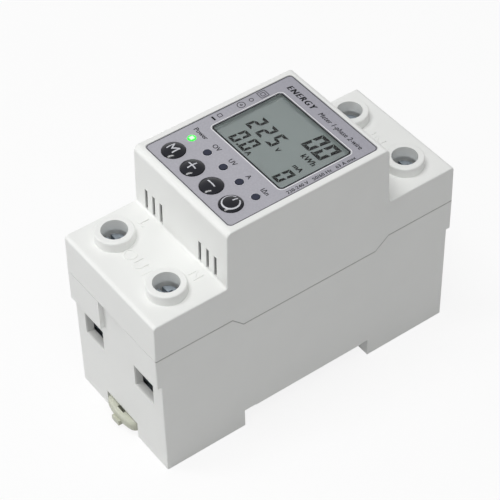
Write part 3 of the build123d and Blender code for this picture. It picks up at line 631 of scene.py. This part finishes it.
# Signs left of the window, in mm: a bar with its place, then squares and rings as side or radius and place
mark_x = (plate_low.x + pane_low.x + pane_edge - outline_gap) / 2
mark_line, mark_corner = 0.16 * mm, 0.1 * mm
bar_sides, bar_y = (1.5, 0.44), -2.7
square_marks = ((1.0, -0.9), (2.1, 11.3), (1.05, 11.3))
ring_marks = ((0.95, 5.1), (0.25, 5.1), (0.5, 8.0))
legends.append(flat_solid(rectangle(*bar_sides), (mark_x, bar_y * mm, print_z)))
for side, y in square_marks:
    legends.append(frame_line(dark_line, side * mm, side * mm, mark_corner, mark_line,
                              (mark_x, y * mm, print_z)))
for radius, y in ring_marks:
    legends.append(rings(dark_ring, radius * mm, mark_line, [(mark_x, y * mm, print_z)]))
keep_mesh("plate_legends", join(legends), body, ink_dark)

lamp_ring_radius, lamp_ring_line = 1.13 * mm, 0.12 * mm
lamp_rings = rings(pale_ring, lamp_ring_radius, lamp_ring_line, [(p.x, p.y, print_z) for p in lamp_places])
keep_mesh("lamp_pale_rings", lamp_rings, body, ink_pale)


# Digits and units of the display, drawn as segments on the glass
lit_segments = {"0": "abcdef", "2": "abged", "5": "afgcd"}
digit_slant = math.tan(math.radians(6.5))
segment_half_gap = 0.07
glass_z = glass_high.z + print_depth / 2


def segment_outlines(width, height, stroke):
    """The seven mitred segments of a digit, anticlockwise in millimetres round its middle."""
    x, y, gap = width / 2, height / 2, segment_half_gap
    inner_x, inner_y, half = x - stroke, y - stroke, stroke / 2
    top = [(gap - x, y), (gap - inner_x, inner_y), (inner_x - gap, inner_y), (x - gap, y)]
    upper = [(x, y - gap), (inner_x, inner_y - gap), (inner_x, half + gap), (x, gap)]
    lower = [(x, -gap), (inner_x, -half - gap), (inner_x, gap - inner_y), (x, gap - y)]
    middle = [(2 * gap - x, 0), (gap - inner_x, -half), (inner_x - gap, -half)]
    across = {"a": top, "b": upper, "c": lower, "d": top, "e": upper, "f": lower}
    outlines = {name: [(-px, -py) for px, py in outline] if name in "def" else outline
                for name, outline in across.items()}
    outlines["g"] = middle + [(-px, -py) for px, py in middle]
    return {name: [(px + py * digit_slant, py) for px, py in outline] for name, outline in outlines.items()}


# Each group of digits, in mm: the places of its digits across, its middle, and the width, height and stroke
readings = [
    ("225", (-8.0, -4.3, -0.6), 4.75, 2.42, 4.75, 0.74),
    ("00", (-6.8, -3.1), -1.05, 2.42, 4.7, 0.74),
    ("00", (5.45, 9.4), 11.2, 3.08, 5.95, 0.94),
    ("0", (9.75,), -1.1, 2.45, 4.7, 0.74),
]
segments = []
for digits, centres, y, width, height, stroke in readings:
    outlines = segment_outlines(width, height, stroke)
    segments += [flat_solid(outlines[name], (x * mm, y * mm, glass_z))
                 for digit, x in zip(digits, centres) for name in lit_segments[digit]]

# Units with their height and place, and the decimal points, in mm
units = [("V", 1.35, 2.0, 2.35), ("A", 1.35, -1.1, -3.5), ("kWh", 1.6, 8.9, 5.7), ("mA", 1.35, 9.6, 2.25)]
unit_stroke = 0.16 * mm
point_side = 0.55
point_places = ((-5.0, -3.1), (7.45, 8.5))
unit_meshes = [bold_text(words, height * mm, (x * mm, y * mm, glass_z), unit_stroke, slant=digit_slant)
               for words, height, x, y in units]
points = [flat_solid(rectangle(point_side, point_side), (x * mm, y * mm, glass_z)) for x, y in point_places]
keep_mesh("display_reading", join(segments + unit_meshes + points), body, segment_black)


# Signs on the button caps, which follow the crown of each cap
cap_flange, crown_rise, crown_cell = 0.4 * mm, 0.75 * mm, 0.3 * mm


def on_crown(mesh, node):
    """Lays a flat mesh on the crown of a button, which is part of a sphere."""
    low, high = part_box(node)
    cap_radius = (high.x - low.x) / 2 - cap_flange
    sphere = (cap_radius ** 2 + crown_rise ** 2) / (2 * crown_rise)
    middle = (low + high) / 2
    for vertex in mesh.vertices:
        away = Vector((vertex.co.x - middle.x, vertex.co.y - middle.y)).length
        vertex.co.z += high.z - sphere + math.sqrt(sphere ** 2 - away ** 2)
    return mesh


def fine_grid(mesh, cell):
    """Cuts a flat mesh into cells small enough to bend over a crown."""
    cut = bmesh.new()
    cut.from_mesh(mesh)
    box = [Vector(v.co) for v in cut.verts]
    for axis in (0, 1):
        low = min(p[axis] for p in box)
        high = max(p[axis] for p in box)
        for k in range(1, int((high - low) / cell)):
            normal = Vector((0, 0, 0))
            normal[axis] = 1
            bmesh.ops.bisect_plane(cut, geom=cut.verts[:] + cut.edges[:] + cut.faces[:],
                                   plane_co=normal * (low + k * cell), plane_no=normal)
    cut.to_mesh(mesh)
    cut.free()
    return mesh


# Outlines of the signs in mm, with the half width of their strokes, the length of an arm, the open ring and
# the foot and top of the bar in it
stroke_half, arm = 0.165, 1.3
ring_radius, ring_gap, ring_steps = 2.03, math.radians(38), 48
bar_foot, bar_top = 0.45, 1.9


def open_ring(radius, gap):
    """Outline of a ring that is open at its top."""
    turns = [gap / 2 + (2 * math.pi - gap) * k / ring_steps for k in range(ring_steps + 1)]
    outer, inner = [[(-math.sin(t) * reach, math.cos(t) * reach) for t in turns]
                    for reach in (radius + stroke_half, radius - stroke_half)]
    return outer + inner[::-1]


letter_m = [(-1.2, -1.15), (-0.88, -1.15), (-0.88, 0.56), (0, -0.68), (0.88, 0.56), (0.88, -1.15),
            (1.2, -1.15), (1.2, 1.15), (0.85, 1.15), (0, -0.1), (-0.85, 1.15), (-1.2, 1.15)]
plus_sign = [(-arm, -stroke_half), (-stroke_half, -stroke_half), (-stroke_half, -arm), (stroke_half, -arm),
             (stroke_half, -stroke_half), (arm, -stroke_half), (arm, stroke_half), (stroke_half, stroke_half),
             (stroke_half, arm), (-stroke_half, arm), (-stroke_half, stroke_half), (-arm, stroke_half)]
minus_sign = rectangle(2 * arm, 2 * stroke_half)
power_bar = [(-stroke_half, bar_foot), (stroke_half, bar_foot), (stroke_half, bar_top),
             (-stroke_half, bar_top)]
cap_legends = {"mode": [letter_m], "plus": [plus_sign], "minus": [minus_sign],
               "power": [open_ring(ring_radius, ring_gap), power_bar]}
for name, outlines in cap_legends.items():
    at = centre_of(f"button_{name}")
    shapes = [flat_solid(outline, (at.x, at.y, print_depth / 2)) for outline in outlines]
    legend = on_crown(fine_grid(join(shapes), crown_cell), f"button_{name}")
    keep_mesh(f"button_{name}_legend", legend, f"button_{name}", ink_pale)


# Grip ridges on the jaw of each clamp cage
def jaw_ridge_tree(material):
    """Pressed ridges in a row, each a square bar laid on edge across the jaw and half sunk in it."""
    tree, given = new_tree("jaw_ridges", [
        ("Count", "NodeSocketInt"), ("First", "NodeSocketVector"), ("Step", "NodeSocketVector"),
        ("Bar", "NodeSocketVector"), ("Height", "NodeSocketFloat")])
    line = add(tree, "GeometryNodeCurvePrimitiveLine", {"End": given["Bar"]})
    profile = add(tree, "GeometryNodeCurvePrimitiveCircle", {"Radius": given["Height"], "Resolution": 4})
    bar = add(tree, "GeometryNodeCurveToMesh", {"Curve": line.outputs["Curve"],
                                                "Profile Curve": profile.outputs["Curve"], "Fill Caps": True})
    row = add(tree, "GeometryNodeMeshLine", {"Count": given["Count"], "Start Location": given["First"],
                                             "Offset": given["Step"]})
    ridges = add(tree, "GeometryNodeInstanceOnPoints", {"Points": row.outputs["Mesh"],
                                                        "Instance": bar.outputs["Mesh"]})
    return close_tree(tree, ridges.outputs["Instances"], material)


cage_wall = 1.2 * mm
ridge_count = 7
ridge_pitch, ridge_length, ridge_height = 1.3 * mm, 7.4 * mm, 0.28 * mm
ridge_tree = jaw_ridge_tree(steel)
for cage in starting_with("cage_"):
    cage_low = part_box(cage)[0]
    middle = centre_of(cage)
    first = (middle.x - ridge_length / 2, middle.y - ridge_pitch * (ridge_count - 1) / 2,
             cage_low.z + cage_wall)
    ridges = grow(ridge_tree, {"Count": ridge_count, "First": first, "Step": (0, ridge_pitch, 0),
                               "Bar": (ridge_length, 0, 0), "Height": ridge_height})
    keep_mesh(f"{cage}_jaw_ridges", ridges, cage, steel)


# Raised letters beside the screw wells: height and place of each word, in mm
cover_shoulder = 43.9 * mm
letter_relief = 0.17 * mm
letter_spacing = 1.05
raised_words = [("L", 2.8, -10.4, -26.9), ("N", 2.8, 10.2, -27.2), ("OUT", 3.4, -0.7, -35.5),
                ("L", 2.8, -10.4, 24.6), ("N", 2.8, 10.2, 24.6), ("IN", 3.4, -0.7, 32.3)]
raised = join([text_mesh(word, height * mm, (x * mm, y * mm, cover_shoulder), spacing=letter_spacing)
               for word, height, x, y in raised_words])
for vertex in raised.vertices:
    if vertex.co.z > cover_shoulder:
        vertex.co.z = cover_shoulder + letter_relief
keep_mesh("shoulder_letters", raised, body, housing)


# Floor, lamps and camera
def seen_directly(tree):
    """One for what the eye sees, straight, mirrored or through the pane, and nothing for the light shed."""
    path = add(tree, "ShaderNodeLightPath").outputs
    seen = path["Is Camera Ray"]
    for ray in ("Is Glossy Ray", "Is Transmission Ray"):
        seen = add(tree, "ShaderNodeMath", {0: seen, 1: path[ray]}, operation="MAXIMUM").outputs["Value"]
    return seen


def white_sweep_paper():
    # Matt white sweep paper, lit until it is pure white where the eye sees it, with a soft contact shadow
    material, tree, shader = new_material("white_sweep_paper", "#F4F4F4", 0.9)
    seen = seen_directly(tree)
    share = add(tree, "ShaderNodeMath", {0: seen, 1: paper_glow}, operation="MULTIPLY")
    paper = add(tree, "ShaderNodeMix", {0: seen, 6: linear("#BCBCBC"), 7: linear("#F4F4F4")},
                data_type="RGBA")
    tree.links.new(paper.outputs[2], shader.inputs["Base Color"])
    white = add(tree, "ShaderNodeEmission", {"Color": (1, 1, 1, 1), "Strength": 1.0})
    both = add(tree, "ShaderNodeMixShader", {0: share.outputs["Value"], 1: shader.outputs["BSDF"],
                                             2: white.outputs["Emission"]})
    tree.links.new(both.outputs["Shader"], tree.nodes["Material Output"].inputs["Surface"])
    return material


def stage_plane(name, size, z, material):
    """A square of the studio that is no part of the object."""
    made = bmesh.new()
    bmesh.ops.create_grid(made, x_segments=1, y_segments=1, size=size / 2)
    mesh = bpy.data.meshes.new(name)
    made.to_mesh(mesh)
    made.free()
    mesh.transform(Matrix.Translation((0, 0, z)))
    mesh.materials.append(material)
    plane = bpy.data.objects.new(name, mesh)
    bpy.context.scene.collection.objects.link(plane)


def area_lamp(name, power, size, at):
    """A rectangular lamp that points at the meter."""
    lamp = bpy.data.lights.new(name, "AREA")
    lamp.energy = power
    lamp.shape = "RECTANGLE"
    lamp.size, lamp.size_y = size
    holder = bpy.data.objects.new(name, lamp)
    bpy.context.scene.collection.objects.link(holder)
    holder.location = at
    holder.rotation_euler = (lamp_aim - holder.location).to_track_quat("-Z", "Y").to_euler()


# How much of its own light the paper shows, what light the studio sheds, the floor's side and the lamps' aim
paper_glow = 0.86
studio_light = 0.3
floor_size = 4.0
lamp_aim = Vector((0, 0, 0.02))
stage_plane("sweep_floor", floor_size, cad_box[0].z, white_sweep_paper())

world = bpy.data.worlds.new("studio")
bpy.context.scene.world = world
world.use_nodes = True
studio = world.node_tree
background = studio.nodes["Background"]
background.inputs["Color"].default_value = (1, 1, 1, 1)
background.inputs["Strength"].default_value = studio_light
bright = add(studio, "ShaderNodeBackground", {"Color": (1, 1, 1, 1), "Strength": 1.0})
both = add(studio, "ShaderNodeMixShader", {0: seen_directly(studio), 1: background.outputs["Background"],
                                           2: bright.outputs["Background"]})
studio.links.new(both.outputs["Shader"], studio.nodes["World Output"].inputs["Surface"])

area_lamp("overhead_strip", 2.75, (0.09, 0.4), (-0.13, -0.19, 0.9))
area_lamp("front_softbox", 2.4, (0.6, 0.6), (0.38, -0.27, 0.83))
area_lamp("end_softbox", 2.7, (0.7, 0.4), (-0.55, -0.75, 0.18))

camera_data = bpy.data.cameras.new("photo_camera")
camera = bpy.data.objects.new("photo_camera", camera_data)
bpy.context.scene.collection.objects.link(camera)
camera_data.sensor_fit = "HORIZONTAL"
camera_data.sensor_width = sensor_width
camera_data.lens = focal_pixels / frame_pixels * sensor_width
camera_data.clip_start = 10 * mm
back = Vector((math.sin(camera_azimuth) * math.cos(camera_elevation),
               -math.cos(camera_azimuth) * math.cos(camera_elevation), math.sin(camera_elevation)))
level_right = Vector((math.cos(camera_azimuth), math.sin(camera_azimuth), 0))
level_up = back.cross(level_right)
right = level_right * math.cos(camera_roll) + level_up * math.sin(camera_roll)
up = level_up * math.cos(camera_roll) - level_right * math.sin(camera_roll)
turn = Matrix((right, up, back)).transposed().to_4x4()
camera.matrix_world = Matrix.Translation(camera_target + back * camera_distance) @ turn
bpy.context.scene.camera = camera
bpy.context.scene.view_settings.view_transform = "Standard"
